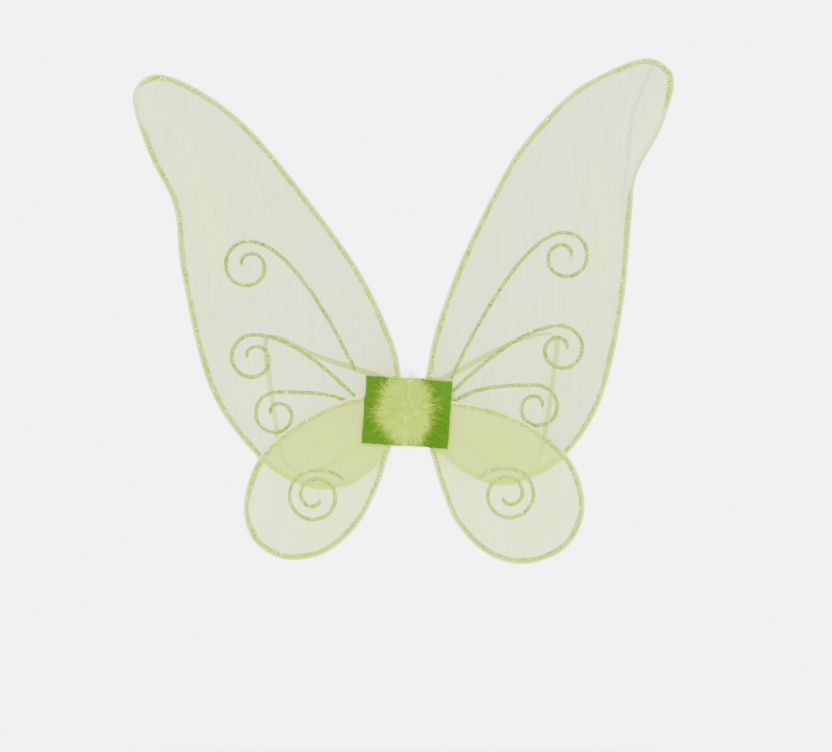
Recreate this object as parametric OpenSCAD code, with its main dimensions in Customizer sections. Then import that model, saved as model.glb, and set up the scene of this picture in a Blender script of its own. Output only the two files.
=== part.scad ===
// Fairy wings: four sheer sleeves on bent wire loops, held between two felt pads,
// with glitter-glue edges and scrolls, a fluffy pompom and two elastic arm loops.
// Millimetres. +X is the wearer's right, +Y points at the wearer's back, +Z is up.
// The origin is the middle of the pad's face that rests on the back.

/* [Wire] */
// Diameter of the frame wire
wire_d = 2.4; // [1.8:0.1:2.6]
// Distance of each side's bend line from the middle
bend_x = 11; // [10:0.5:12]

/* [Wing shape] */
// Backward sweep of the upper wings, in degrees
upper_sweep = 4; // [2:0.5:5]
// Backward sweep of the lower wings, in degrees
lower_sweep = 6; // [5.5:0.5:7]
// How far the upper wings' outer ends curl back
upper_curl = 14; // [6:1:16]
// How far the lower wings' outer ends curl back
lower_curl = 5; // [4:1:8]
// Distance between the upper and the lower wings beside the hub
layer_gap = 4.4; // [4.2:0.1:4.6]
// Thickness of a sleeve's sheer fabric, both layers together
sleeve_t = 1; // [0.8:0.1:1.2]

/* [Glitter] */
// Width of the glitter band along each edge
edge_w = 4.4; // [3:0.2:5]
// Width of a glitter scroll's line
scroll_w = 3.6; // [2:0.2:4]
// Height of the glitter glue above the fabric
glitter_t = 0.5; // [0.3:0.1:0.6]

/* [Felt] */
// Width of the rear felt patch
patch_w = 86; // [80:1:92]
// Height of the rear felt patch
patch_h = 68; // [64:1:74]
// How far the rear patch is turned clockwise, seen from behind, in degrees
patch_turn = 4; // [0:0.5:6]
// Sideways offset of the rear patch and the pompom
patch_x = -4; // [-5:1:5]
// Width of the pad on the wearer's side
pad_w = 84; // [80:1:86]
// Height of the pad on the wearer's side
pad_h = 68; // [64:1:72]
// Thickness of the felt
felt_t = 2; // [1.6:0.1:2.2]

/* [Pompom] */
// Radius of the pompom's soft outer shape
fluff_r = 31; // [26:1:34]
// Radius of the knot in its middle
knot_r = 5.5; // [4:0.5:5.5]

/* [Elastic] */
// Width of the elastic
elastic_w = 6; // [5:0.5:8]
// Thickness of the elastic
elastic_t = 1.2; // [0.8:0.1:1.2]

/* [Hidden] */
$fn = 48;

LEFT = -1;
RIGHT = 1;
UPPER = 1;
LOWER = -1;

wire_r = wire_d / 2;
hinge_clearance = 0.4;                 // between a wire and its end in the hub
bend_y = -7;                           // both bend lines lie in this plane
joggle = 12;                           // the wires step to their own layer over this distance
sleeve_start = 6;                      // the sleeves start this far outside the bend line
full_span = 264;                       // the sideways reach that the curls refer to
patch_y = -11.6;                       // front face of the rear patch, in its middle
bundle_half = [7.6, 3.2, 9];           // half the size of the space inside the binding tape
tape_half = bundle_half + [0.6, 0.6, 0];
fluff_y = patch_y - felt_t - 22;       // middle of the fluff
knot_y = patch_y - felt_t - 9;         // middle of the knot
steps = 6;                             // points on each stretch of a smooth curve
wire_sides = 8;
soak = 0.2;                            // the glitter glue soaks this far into the fabric
reach = 1000;                          // beyond every outline

// Outlines as [distance from the middle, height], from the wire's upper end in the hub,
// round the wing, to its lower end. Every wire was bent by hand, so the sides differ a little.
upper_left_outline = [
    [bend_x, 33], [18, 68], [52, 140], [112, 223], [164, 284], [212, 320], [251, 334], [271, 322],
    [273, 300], [257, 252], [234, 203], [226, 135], [199, 24], [152, -44], [106, -73], [62, -72],
    [26, -44], [20, -32], [bend_x, -26],
];
upper_right_outline = [
    [bend_x, 22], [16, 37], [26, 84], [52, 154], [91, 233], [115, 270], [152, 310], [182, 331],
    [229, 350], [254, 341], [259, 321], [246, 280], [223, 236], [218, 195], [209, 102], [188, 12],
    [154, -42], [119, -65], [88, -72], [58, -62], [30, -41], [bend_x, -26],
];
lower_left_outline = [
    [bend_x, 22], [48, 16], [91, 1], [131, -25], [154, -53], [165, -92], [158, -123], [138, -141],
    [114, -146], [83, -138], [54, -112], [34, -75], [22, -38], [bend_x, -12],
];
lower_right_outline = [
    [bend_x, 12], [40, 10], [89, 0], [129, -21], [159, -50], [171, -88], [165, -118], [145, -140],
    [109, -150], [74, -139], [46, -110], [31, -75], [20, -38], [bend_x, -12],
];

// An arm loop's line as [distance from the middle, forward, height], as it lies round a shoulder.
// Its upper end leaves the pad at a slant, and its lower end straight out.
loop_x = pad_w / 2 + 1;                // where the loop leaves its sewn ends and bends
loop_y = -felt_t - elastic_t / 2;
loop_rest = [
    [150, 84, 70], [148, 118, 36], [142, 126, -10], [134, 104, -46], [116, 60, -62], [84, 18, -54],
    [61, -0.6, -36], [loop_x + 7, loop_y, -30], [loop_x, loop_y, -30],
];
left_loop_top = [
    [loop_x, loop_y, 39], [loop_x + 7, loop_y, 41.4], [60, -1.4, 44.9], [80, 6, 51], [108, 20, 62],
    [138, 44, 76],
];
right_loop_top = [
    [loop_x, loop_y, 39], [loop_x + 7, loop_y, 42.6], [60, -1.4, 48], [80, 6, 59], [108, 20, 72],
    [139, 45, 79],
];
loop_middle = [110, 62, 6];
loop_twist = 60;                       // the elastic turns from flat on the pad over this length
tail_length = 27;                      // sewn under the pad
tail_gap = 1.2;                        // between a loop and its sewn end
stitch_at = 19;                        // distance of a stitch bar from the loop

// ---- curves ----

function ease(t) = let (c = min(max(t, 0), 1)) c * c * (3 - 2 * c);

function unit(v) = v / norm(v);

function between(p, q, r, s, t) =
    0.5 * (2 * q + (r - p) * t + (2 * p - 5 * q + 4 * r - s) * t * t + (3 * q - p - 3 * r + s) * t * t * t);

// A smooth open curve through the points
function curve(points, n = steps) =
    let (last = len(points) - 1)
    [
        for (i = [0 : last - 1], k = [0 : n - 1])
            between(points[max(i - 1, 0)], points[i], points[i + 1], points[min(i + 2, last)], k / n),
        points[last],
    ];

function along(path, i) = unit(path[min(i + 1, len(path) - 1)] - path[max(i - 1, 0)]);

// The same flat curve moved sideways, to the right of the way that it runs
function moved(path, by) =
    [for (i = [0 : len(path) - 1]) let (d = along(path, i)) path[i] + by * [d[1], -d[0]]];

function turned_round(list) = [for (i = [len(list) - 1 : -1 : 0]) list[i]];

// A flat band round a flat curve
function band(path, near, far) = concat(moved(path, near), turned_round(moved(path, far)));

// A wing's surface: how far back it lies at a distance from the middle
function wing_y(layer, from_middle) =
    let (
        out = max(from_middle - bend_x, 0),
        sweep = layer == UPPER ? upper_sweep : lower_sweep,
        curl = layer == UPPER ? upper_curl : lower_curl
    )
    bend_y + layer * layer_gap / 2 * ease(out / joggle) - out * tan(sweep) - curl * pow(out / full_span, 2);

// A flat curve laid on a wing's surface
function on_wing(path, side, layer) = [for (p = path) [side * p[0], wing_y(layer, p[0]), p[1]]];

// A scroll: a stem from its root to the top of a spiral that winds outwards, down and in
function spiral(middle, r, turn, n = 40) =
    [
        for (i = [0 : n])
            let (s = i / n, a = 90 - turn * s)
            middle + r * (1 - 0.24 * s - 0.52 * s * s) * [cos(a), sin(a)],
    ];

function stem(root, aim, middle, r, n = 12) =
    let (top = middle + [0, r], before = top - [min(1.6 * r, 0.55 * (top[0] - root[0])), 0])
    [
        for (i = [0 : n - 1])
            let (t = i / n, u = 1 - t)
            root * u * u * u + aim * 3 * t * u * u + before * 3 * t * t * u + top * t * t * t,
    ];

function scroll(root, aim, middle, r, turn = 450) =
    concat(stem(root, aim, middle, r), spiral(middle, r, turn));

// ---- building blocks ----

// A section of points [across, up] swept along a path, with one [across, up] pair of axes per point
module sweep(path, axes, sections) {
    sides = len(sections[0]);
    last = len(path) - 1;
    points = [
        for (i = [0 : last], s = sections[i])
            path[i] + s[0] * axes[i][0] + s[1] * axes[i][1],
    ];
    skin = [
        for (i = [0 : last - 1], k = [0 : sides - 1])
            let (a = i * sides + k, b = i * sides + (k + 1) % sides)
            each [[a, b, a + sides], [b, b + sides, a + sides]],
    ];
    first_cap = [for (k = [1 : sides - 2]) [0, k + 1, k]];
    end = last * sides;
    last_cap = [for (k = [1 : sides - 2]) [end, end + k, end + k + 1]];
    polyhedron(points, concat(skin, first_cap, last_cap));
}

// A round wire along a path, with a round nose at each end
module wire(path, r = wire_r) {
    last = len(path) - 1;
    noses = [0.2, 0.6, 0.9];
    start = [for (c = noses) path[0] - along(path, 0) * r * sqrt(1 - c * c)];
    finish = [for (c = turned_round(noses)) path[last] + along(path, last) * r * sqrt(1 - c * c)];
    line = concat(start, path, finish);
    radii = concat(noses * r, [for (p = path) r], turned_round(noses) * r);
    axes = [
        for (i = [0 : len(line) - 1])
            let (d = along(line, i), a = unit(cross(d, [0, 1, 0.02])))
            [a, cross(d, a)],
    ];
    sections = [
        for (rr = radii)
            [for (k = [0 : wire_sides - 1]) rr * [cos(k * 360 / wire_sides), sin(k * 360 / wire_sides)]],
    ];
    sweep(line, axes, sections);
}

// A curved layer that follows a wing's surface, from one height over it to another,
// measured towards the wearer
module layer_sheet(side, layer, low, high) {
    stations = [for (i = [0 : 1 : 8]) bend_x + sleeve_start + i * 3, for (i = [1 : 1 : 14]) 41 + i * 17];
    translate([0, 0, -reach / 2])
        linear_extrude(reach)
            polygon(concat(
                [for (s = stations) [side * s, wing_y(layer, s) + low]],
                turned_round([for (s = stations) [side * s, wing_y(layer, s) + high]])
            ));
}

// A flat outline, seen from behind, pushed through everything
module through(side, outline) {
    translate([0, reach / 2, 0])
        rotate([90, 0, 0])
            linear_extrude(reach)
                polygon([for (p = outline) [side * p[0], p[1]]]);
}

module felt_outline(w, h) {
    corner = 1.5;
    polygon([
        for (q = [[1, 1, 0], [-1, 1, 90], [-1, -1, 180], [1, -1, 270]], a = [0 : 30 : 90])
            [
                q[0] * (w / 2 - corner) + corner * cos(q[2] + a),
                q[1] * (h / 2 - corner) + corner * sin(q[2] + a),
            ],
    ]);
}

// ---- wings ----

module frame(side, layer, outline) {
    color("gainsboro") wire(on_wing(curve(outline), side, layer));
}

// The sheet runs to the middle of the wire that it is pulled over
module sleeve(side, layer, outline) {
    color([0.9, 0.94, 0.8, 0.5])
        intersection() {
            layer_sheet(side, layer, -sleeve_t / 2, sleeve_t / 2);
            through(side, curve(outline, 5));
        }
}

module glitter_layer(side, layer) {
    layer_sheet(side, layer, -sleeve_t / 2 - glitter_t, -sleeve_t / 2 + soak);
}

module edge_glitter(side, layer, outline) {
    color([0.78, 0.86, 0.42])
        intersection() {
            glitter_layer(side, layer);
            through(side, band(curve(outline, 5), wire_r + 0.2, wire_r + 0.2 + edge_w));
        }
}

module glitter_scroll(side, layer, path) {
    color([0.74, 0.83, 0.36])
        intersection() {
            glitter_layer(side, layer);
            through(side, band(path, -scroll_w / 2, scroll_w / 2));
        }
}

module top_scroll(side, root, middle) {
    glitter_scroll(side, UPPER, scroll(root, root + [28, 58], middle, 24));
}

module middle_scroll(side, root, middle) {
    glitter_scroll(side, UPPER, scroll(root, root + [30, 28], middle, 23));
}

module bottom_scroll(side, root, middle) {
    glitter_scroll(side, UPPER, scroll(root, root + [22, 14], middle, 22));
}

module lower_scroll(side, middle) {
    root = middle + [-29, 16];
    glitter_scroll(side, LOWER, scroll(root, root + [6, 6], middle, 26, 600));
}

// ---- hub ----

// A wire's two ends in the hub: each runs in from the bend line, then along the middle
module wire_ends(side, layer, outline) {
    column = layer == UPPER ? [side * 6.2, bend_y + 1.8] : [side * 3.4, bend_y - 1.8];
    gap = wire_d + hinge_clearance;
    color("gainsboro")
        for (z = [outline[0][1], outline[len(outline) - 1][1]]) {
            bend = [side * bend_x, bend_y, z];
            turn = [column[0], column[1], sign(z) * max(abs(z) * 0.65, 10.5)];
            inner = [column[0], column[1], sign(z) * 2];
            start = bend + unit(turn - bend) * gap;
            before = turn + unit(start - turn) * wire_d / 2;
            after = turn + unit(inner - turn) * wire_d / 2;
            wire([start, before, after, inner]);
        }
}

module box(low, high) {
    translate(low) cube(high - low);
}

// Tape wound round the middle of all the wire ends
module binding_tape() {
    middle = [0, bend_y, 0];
    through_all = [0, 0, 1];
    color("ivory")
        difference() {
            box(middle - tape_half, middle + tape_half);
            box(middle - bundle_half - through_all, middle + bundle_half + through_all);
        }
}

// Hot glue: one blob holds the tape to the pad, the other holds the rear patch to the tape
module hub_glue() {
    edge = 1;
    x = tape_half[0] - edge;
    z = tape_half[2] - edge;
    color([0.95, 0.95, 0.9]) {
        box([-x, bend_y + tape_half[1], -z], [x, -felt_t, z]);
        box([-x, patch_y, -z], [x, bend_y - tape_half[1], z]);
    }
}

module back_pad() {
    color([0.36, 0.66, 0.16])
        rotate([90, 0, 0])
            linear_extrude(felt_t)
                felt_outline(pad_w, pad_h);
}

// The patch lies over the roots of the lower wings, so its sides slope back with them
module felt_patch() {
    bend_lines = [-1, 1] * bend_x;
    ends = [-1, 1] * (patch_w / 2 + 12);
    slope = tan(lower_sweep);
    profile = [
        for (x = [ends[0], bend_lines[0], bend_lines[1], ends[1]])
            [x, patch_y - slope * max(abs(x) - bend_x, 0)],
    ];
    color([0.36, 0.66, 0.16])
        intersection() {
            translate([0, 0, -patch_h])
                linear_extrude(2 * patch_h)
                    polygon(concat(profile, turned_round([for (p = profile) p - [0, felt_t]])));
            translate([patch_x, 0, 0])
                rotate([90, 0, 0])
                    linear_extrude(60)
                        rotate(-patch_turn)
                            felt_outline(patch_w, patch_h);
        }
}

module pompom_glue() {
    color([0.95, 0.95, 0.9])
        translate([patch_x, patch_y - felt_t, 0])
            rotate([90, 0, 0])
                cylinder(h = patch_y - felt_t - knot_y - knot_r, r = knot_r + 1);
}

module pompom_knot() {
    color([0.8, 0.88, 0.5])
        translate([patch_x, knot_y, 0])
            sphere(r = knot_r);
}

module pompom_fluff() {
    color([0.82, 0.9, 0.52])
        difference() {
            translate([patch_x, fluff_y, 0]) sphere(r = fluff_r);
            box([-60, patch_y - felt_t - 2.5, -60], [60, 20, 60]);
        }
}

// ---- elastic ----

function loop_route(side) = concat(side == LEFT ? left_loop_top : right_loop_top, loop_rest);

module elastic_loop(side) {
    path = [for (p = curve(loop_route(side), 5)) [side * p[0], p[1], p[2]]];
    last = len(path) - 1;
    middle = [side * loop_middle[0], loop_middle[1], loop_middle[2]];
    axes = [
        for (i = [0 : last])
            let (
                d = along(path, i),
                from_end = min(norm(path[i] - path[0]), norm(path[i] - path[last])),
                inward = [0, 1, 0] * (1 - ease(from_end / loop_twist))
                    + unit(middle - path[i]) * ease(from_end / loop_twist),
                flat = unit(inward - d * (inward * d))
            )
            [cross(d, flat), flat],
    ];
    w = elastic_w / 2;
    t = elastic_t / 2;
    color("white")
        sweep(path, axes, [for (p = path) [[w, -t], [w, t], [-w, t], [-w, -t]]]);
}

// Puts a flat shape, drawn along +X from the loop's end, where that end is sewn to the pad
module at_loop_end(side, from, to) {
    slope = atan2(from[2] - to[2], from[0] - to[0]);
    translate([side * from[0], 0, from[2]])
        rotate([0, side == LEFT ? 180 + slope : -slope, 0])
            children();
}

module at_loop_ends(side) {
    route = loop_route(side);
    last = len(route) - 1;
    at_loop_end(side, route[0], route[1]) children();
    at_loop_end(side, route[last], route[last - 1]) children();
}

module elastic_ends(side) {
    color("white")
        at_loop_ends(side)
            box([tail_gap, -felt_t - elastic_t, -elastic_w / 2], [tail_length, -felt_t, elastic_w / 2]);
}

// A bar of close stitches across each sewn end
module elastic_stitches(side) {
    bar = [3, 0.3, elastic_w - 1];
    color("honeydew")
        at_loop_ends(side)
            translate([stitch_at, -felt_t - elastic_t - bar[1] / 2, 0])
                cube(bar, center = true);
}

// ---- nodes ----

back_pad();
felt_patch();
binding_tape();
hub_glue();
pompom_glue();
pompom_knot();
pompom_fluff();
wire_ends(LEFT, UPPER, upper_left_outline);  // upper_left_wire_ends
wire_ends(RIGHT, UPPER, upper_right_outline);  // upper_right_wire_ends
wire_ends(LEFT, LOWER, lower_left_outline);  // lower_left_wire_ends
wire_ends(RIGHT, LOWER, lower_right_outline);  // lower_right_wire_ends
elastic_ends(LEFT);  // left_elastic_ends
elastic_ends(RIGHT);  // right_elastic_ends
elastic_stitches(LEFT);  // left_elastic_stitches
elastic_stitches(RIGHT);  // right_elastic_stitches
frame(LEFT, UPPER, upper_left_outline);  // upper_left_frame
sleeve(LEFT, UPPER, upper_left_outline);  // upper_left_sleeve
edge_glitter(LEFT, UPPER, upper_left_outline);  // upper_left_edge_glitter
top_scroll(LEFT, [56, 42], [162, 146]);  // upper_left_top_scroll
middle_scroll(LEFT, [56, 16], [157, 54]);  // upper_left_middle_scroll
bottom_scroll(LEFT, [56, 6], [134, -2]);  // upper_left_bottom_scroll
frame(RIGHT, UPPER, upper_right_outline);  // upper_right_frame
sleeve(RIGHT, UPPER, upper_right_outline);  // upper_right_sleeve
edge_glitter(RIGHT, UPPER, upper_right_outline);  // upper_right_edge_glitter
top_scroll(RIGHT, [40, 34], [153, 155]);  // upper_right_top_scroll
middle_scroll(RIGHT, [42, 21], [149, 63]);  // upper_right_middle_scroll
bottom_scroll(RIGHT, [43, 11], [125, 5]);  // upper_right_bottom_scroll
frame(LEFT, LOWER, lower_left_outline);  // lower_left_frame
sleeve(LEFT, LOWER, lower_left_outline);  // lower_left_sleeve
edge_glitter(LEFT, LOWER, lower_left_outline);  // lower_left_edge_glitter
lower_scroll(LEFT, [96, -84]);  // lower_left_scroll
frame(RIGHT, LOWER, lower_right_outline);  // lower_right_frame
sleeve(RIGHT, LOWER, lower_right_outline);  // lower_right_sleeve
edge_glitter(RIGHT, LOWER, lower_right_outline);  // lower_right_edge_glitter
lower_scroll(RIGHT, [97, -82]);  // lower_right_scroll
elastic_loop(LEFT);  // left_elastic_loop
elastic_loop(RIGHT);  // right_elastic_loop
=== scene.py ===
"""Looks for the fairy wings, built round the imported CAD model.
"""

import math

import bpy
import numpy as np
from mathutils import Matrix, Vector, noise


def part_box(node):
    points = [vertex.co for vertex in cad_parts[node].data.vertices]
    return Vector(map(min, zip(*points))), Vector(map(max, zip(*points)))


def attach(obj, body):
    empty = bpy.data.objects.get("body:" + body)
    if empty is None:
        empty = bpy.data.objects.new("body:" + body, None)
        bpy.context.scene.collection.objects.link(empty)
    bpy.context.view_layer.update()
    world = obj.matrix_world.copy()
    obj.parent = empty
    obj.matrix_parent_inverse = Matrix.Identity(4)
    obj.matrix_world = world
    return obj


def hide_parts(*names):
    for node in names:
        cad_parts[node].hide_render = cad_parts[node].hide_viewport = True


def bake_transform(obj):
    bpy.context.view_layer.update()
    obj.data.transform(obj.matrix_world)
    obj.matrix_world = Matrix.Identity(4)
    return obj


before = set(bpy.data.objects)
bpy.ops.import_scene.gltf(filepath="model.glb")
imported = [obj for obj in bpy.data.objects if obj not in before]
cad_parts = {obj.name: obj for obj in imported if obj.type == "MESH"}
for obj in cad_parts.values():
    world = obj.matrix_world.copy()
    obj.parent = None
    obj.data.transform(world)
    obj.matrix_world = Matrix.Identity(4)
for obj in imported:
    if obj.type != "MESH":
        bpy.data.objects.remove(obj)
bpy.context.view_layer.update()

MM = 0.001
LEFT, RIGHT = -1, 1
UPPER, LOWER = 1, -1
SIDE_NAMES = {LEFT: "left", RIGHT: "right"}
LAYER_NAMES = {UPPER: "upper", LOWER: "lower"}

# ---- the wings' design, in millimetres ----

BEND_X, BEND_Y = 11.0, -7.0            # the line that each side's wires bend about
WIRE_R = 1.2
JOGGLE = 12.0                          # the wires step to their own layer over this distance
FULL_SPAN = 264.0
LAYER_GAP = 4.4
SWEEP = {UPPER: math.radians(4), LOWER: math.radians(6)}
CURL = {UPPER: 14.0, LOWER: 5.0}
EDGE_W, EDGE_T = 4.4, 0.55              # the edge band's width and thickness
SCROLL_W, SCROLL_T = 3.8, 0.75
EDGE_FLAKES, SCROLL_FLAKES = 2.2, 1.3  # loose flakes in a square millimetre
CLOTH_R = WIRE_R + 0.12                # the sleeve wraps round the wire at this radius
CLOTH_HALF = 0.4                       # half the distance between its layers, far from the wire

# Outlines as (distance from the middle, height): up the inner leg, round the wing, and back
OUTLINES = {
    (LEFT, UPPER): [
        (BEND_X, 33), (18, 68), (52, 140), (112, 223), (164, 284), (212, 320), (251, 334), (271, 322),
        (273, 300), (257, 252), (234, 203), (226, 135), (199, 24), (152, -44), (106, -73), (62, -72),
        (26, -44), (20, -32), (BEND_X, -26),
    ],
    (RIGHT, UPPER): [
        (BEND_X, 22), (16, 37), (26, 84), (52, 154), (91, 233), (115, 270), (152, 310), (182, 331),
        (229, 350), (254, 341), (259, 321), (246, 280), (223, 236), (218, 195), (209, 102), (188, 12),
        (154, -42), (119, -65), (88, -72), (58, -62), (30, -41), (BEND_X, -26),
    ],
    (LEFT, LOWER): [
        (BEND_X, 22), (48, 16), (91, 1), (131, -25), (154, -53), (165, -92), (158, -123), (138, -141),
        (114, -146), (83, -138), (54, -112), (34, -75), (22, -38), (BEND_X, -12),
    ],
    (RIGHT, LOWER): [
        (BEND_X, 12), (40, 10), (89, 0), (129, -21), (159, -50), (171, -88), (165, -118), (145, -140),
        (109, -150), (74, -139), (46, -110), (31, -75), (20, -38), (BEND_X, -12),
    ],
}
# Each scroll's name, layer, root, aim of its stem from the root, spiral's middle, radius and turn
SCROLLS = {
    (LEFT, UPPER): [
        ("top_scroll", (56, 42), (28, 58), (162, 146), 24, 450),
        ("middle_scroll", (56, 16), (30, 28), (157, 54), 23, 450),
        ("bottom_scroll", (56, 6), (22, 14), (134, -2), 22, 450),
    ],
    (RIGHT, UPPER): [
        ("top_scroll", (40, 34), (28, 58), (153, 155), 24, 450),
        ("middle_scroll", (42, 21), (30, 28), (149, 63), 23, 450),
        ("bottom_scroll", (43, 11), (22, 14), (125, 5), 22, 450),
    ],
    (LEFT, LOWER): [("scroll", (67, -68), (6, 6), (96, -84), 26, 600)],
    (RIGHT, LOWER): [("scroll", (68, -66), (6, 6), (97, -82), 26, 600)],
}
# Where the sleeve's inner edge runs, between its two wire legs
ROOTS = {UPPER: [(17, 30), (17, -18)], LOWER: [(17, 12), (17, -14)]}
# Edges that lost their glitter: (side, first, last) as shares of the upper outlines' lengths
BARE = {LEFT: (0.416, 0.466), RIGHT: (0.470, 0.560)}
# A pulled crease in the upper right sleeve, dented into the cloth, made denser as doubled cloth, and painted
# grey along its line as shade
CREASE = ((239, 343), (222, 302), (217, 272), (211, 212), (209, 162))
# The inner edge of the upper left tip's slack patch: past it the cloth gets a painted highlight
SLACK_EDGE = ((259, 335), (250, 322), (244, 306), (240, 284))
# Painted sheen, where the pulled cloth is painted lighter and denser: three points of a line, and how far
# the painted sheen fades to each side
PAINTED_SHEENS = {
    (LEFT, UPPER): [
        ((258, 326), (262, 312), (256, 296), 11), ((228, 268), (205, 205), (190, 130), 15),
        ((176, 60), (150, 10), (120, -30), 20),
    ],
    (RIGHT, UPPER): [((186, 240), (192, 190), (186, 120), 13), ((246, 318), (240, 290), (226, 260), 8)],
    (LEFT, LOWER): [((100, -20), (70, -30), (40, -25), 24)],
    (RIGHT, LOWER): [((110, -30), (70, -36), (35, -25), 26)],
}

LOOP_TOPS = {
    LEFT: [(43, -2.6, 39), (50, -2.6, 41.4), (60, -1.4, 44.9), (80, 6, 51), (108, 20, 62), (138, 44, 76)],
    RIGHT: [(43, -2.6, 39), (50, -2.6, 42.6), (60, -1.4, 48), (80, 6, 59), (108, 20, 72), (139, 45, 79)],
}
LOOP_REST = [
    (150, 84, 70), (148, 118, 36), (142, 126, -10), (134, 104, -46), (116, 60, -62), (84, 18, -54),
    (61, -0.6, -36), (50, -2.6, -30), (43, -2.6, -30),
]
TAIL_LENGTH = 27.0                     # each end is sewn under the pad over this length
STITCH_AT = 19.0                       # the middle of its stitching, from the pad's edge
STITCH_W = 5.2
THREAD_R = 0.22

PATCH_MIDDLE = np.array([-4.0, 0.0])
PATCH_W, PATCH_H = 86.0, 68.0
PATCH_TURN = math.radians(-4)          # clockwise, seen from behind
FELT_T = 2.0
LOOP_MIDDLE = np.array([110.0, 62.0, 6.0])
LOOP_TWIST = 60.0
ELASTIC_W, ELASTIC_T = 6.0, 1.2


def wing_name(side, layer):
    return f"{LAYER_NAMES[layer]}_{SIDE_NAMES[side]}"


# ---- curves ----

def unit(v):
    return v / np.maximum(np.linalg.norm(v, axis=-1, keepdims=True), 1e-12)


def ease(t):
    t = np.clip(t, 0, 1)
    return t * t * (3 - 2 * t)


def smooth_curve(points, n=12):
    """A smooth open curve through the points, the same one as in the CAD."""
    p = np.asarray(points, float)
    out = []
    for i in range(len(p) - 1):
        a, b, c, d = p[max(i - 1, 0)], p[i], p[i + 1], p[min(i + 2, len(p) - 1)]
        square, cube = 2 * a - 5 * b + 4 * c - d, 3 * b - a - 3 * c + d
        for t in np.arange(n) / n:
            out.append(0.5 * (2 * b + (c - a) * t + square * t**2 + cube * t**3))
    out.append(p[-1])
    return np.array(out)


def lengths(path):
    return np.concatenate([[0], np.cumsum(np.linalg.norm(np.diff(path, axis=0), axis=1))])


def at_lengths(path, where):
    s = lengths(path)
    return np.stack([np.interp(where, s, path[:, k]) for k in range(path.shape[1])], 1)


def resample(path, step):
    total = lengths(path)[-1]
    return at_lengths(path, np.linspace(0, total, max(int(round(total / step)), 2) + 1))


def along(path):
    return unit(np.gradient(path, axis=0))


def outward(path):
    """The in-plane direction away from the wing's inside, for an outline that runs clockwise."""
    t = along(path)
    return np.stack([-t[:, 1], t[:, 0]], 1)


def wing_y(layer, d):
    out = np.maximum(d - BEND_X, 0)
    return (
        BEND_Y + layer * LAYER_GAP / 2 * ease(out / JOGGLE)
        - out * math.tan(SWEEP[layer]) - CURL[layer] * (out / FULL_SPAN) ** 2
    )


def on_wing(side, layer, flat, lift=0.0):
    """Flat (distance, height) points laid on a wing. lift is towards the wearer."""
    flat = np.asarray(flat, float)
    return np.stack([side * flat[..., 0], wing_y(layer, flat[..., 0]) + lift, flat[..., 1]], -1)


def scroll_path(root, aim, middle, r, turn):
    root, middle = np.array(root, float), np.array(middle, float)
    aim = root + np.array(aim, float)
    top = middle + [0, r]
    before = top - [min(1.6 * r, 0.55 * (top[0] - root[0])), 0]
    t = np.linspace(0, 1, 24, endpoint=False)[:, None]
    u = 1 - t
    stem = root * u**3 + aim * 3 * t * u**2 + before * 3 * t**2 * u + top * t**3
    s = np.linspace(0, 1, 90)
    a = np.radians(90 - turn * s)
    reach = r * (1 - 0.24 * s - 0.52 * s * s)
    coil = middle + reach[:, None] * np.stack([np.cos(a), np.sin(a)], 1)
    return np.concatenate([stem, coil])


def wobble(points, size, seed):
    """Smooth noise from -1 to 1 at each point, flat or not. size is in millimetres."""
    points = np.asarray(points, float)
    if points.shape[1] == 2:
        points = np.pad(points, ((0, 0), (0, 1)))
    offset = Vector((seed * 7.31, seed * 3.17, seed * 1.93))
    return np.array([noise.noise(Vector(p) / size + offset) for p in points])


def cad_box(node):
    """A CAD node's lowest and highest corners, in millimetres."""
    low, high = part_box(node)
    return np.array(low) / MM, np.array(high) / MM


# ---- meshes ----

def make_object(name, points, faces, materials, which=None):
    mesh = bpy.data.meshes.new(name)
    mesh.from_pydata((np.asarray(points, float) * MM).tolist(), [], [list(map(int, f)) for f in faces])
    for m in materials:
        mesh.materials.append(m)
    if which is not None:
        mesh.polygons.foreach_set("material_index", np.asarray(which, np.int32))
    mesh.polygons.foreach_set("use_smooth", np.full(len(mesh.polygons), True))
    mesh.update()
    obj = bpy.data.objects.new(name, mesh)
    bpy.context.scene.collection.objects.link(obj)
    return obj


def point_values(obj, name, values):
    layer = obj.data.attributes.new(name, "FLOAT", "POINT")
    layer.data.foreach_set("value", np.asarray(values, np.float32))


def ring_faces(rings, sides):
    """Quads between rings of points."""
    faces = []
    for i in range(rings - 1):
        for k in range(sides):
            a, b = i * sides + k, i * sides + (k + 1) % sides
            faces.append((a, b, b + sides, a + sides))
    return faces


def capped_faces(rings, sides):
    """Quads between rings of points, and a face over each end."""
    last = (rings - 1) * sides
    caps = [tuple(range(sides))[::-1], tuple(range(last, last + sides))]
    return ring_faces(rings, sides) + caps


def tube(path, r, sides=12, hint=(0, 1, 0.02)):
    """A round tube with round ends, as points and faces. hint is any way that the path never runs."""
    path = np.asarray(path, float)
    t = along(path)
    across = unit(np.cross(t, np.asarray(hint, float)))
    up = np.cross(t, across)
    caps = np.array([0.15, 0.55, 0.85])
    back = np.sqrt(1 - caps**2)
    radii = np.concatenate([caps * r, np.full(len(path), r), caps[::-1] * r])
    before, after = path[0] - t[0] * back[:, None] * r, path[-1] + t[-1] * back[::-1, None] * r
    line = np.concatenate([before, path, after])
    across, up = (np.pad(axis, ((len(caps), len(caps)), (0, 0)), mode="edge") for axis in (across, up))
    a = np.arange(sides) * 2 * math.pi / sides
    points = (
        line[:, None] + radii[:, None, None]
        * (np.cos(a)[None, :, None] * across[:, None] + np.sin(a)[None, :, None] * up[:, None])
    ).reshape(-1, 3)
    return points, capped_faces(len(line), sides)


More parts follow.
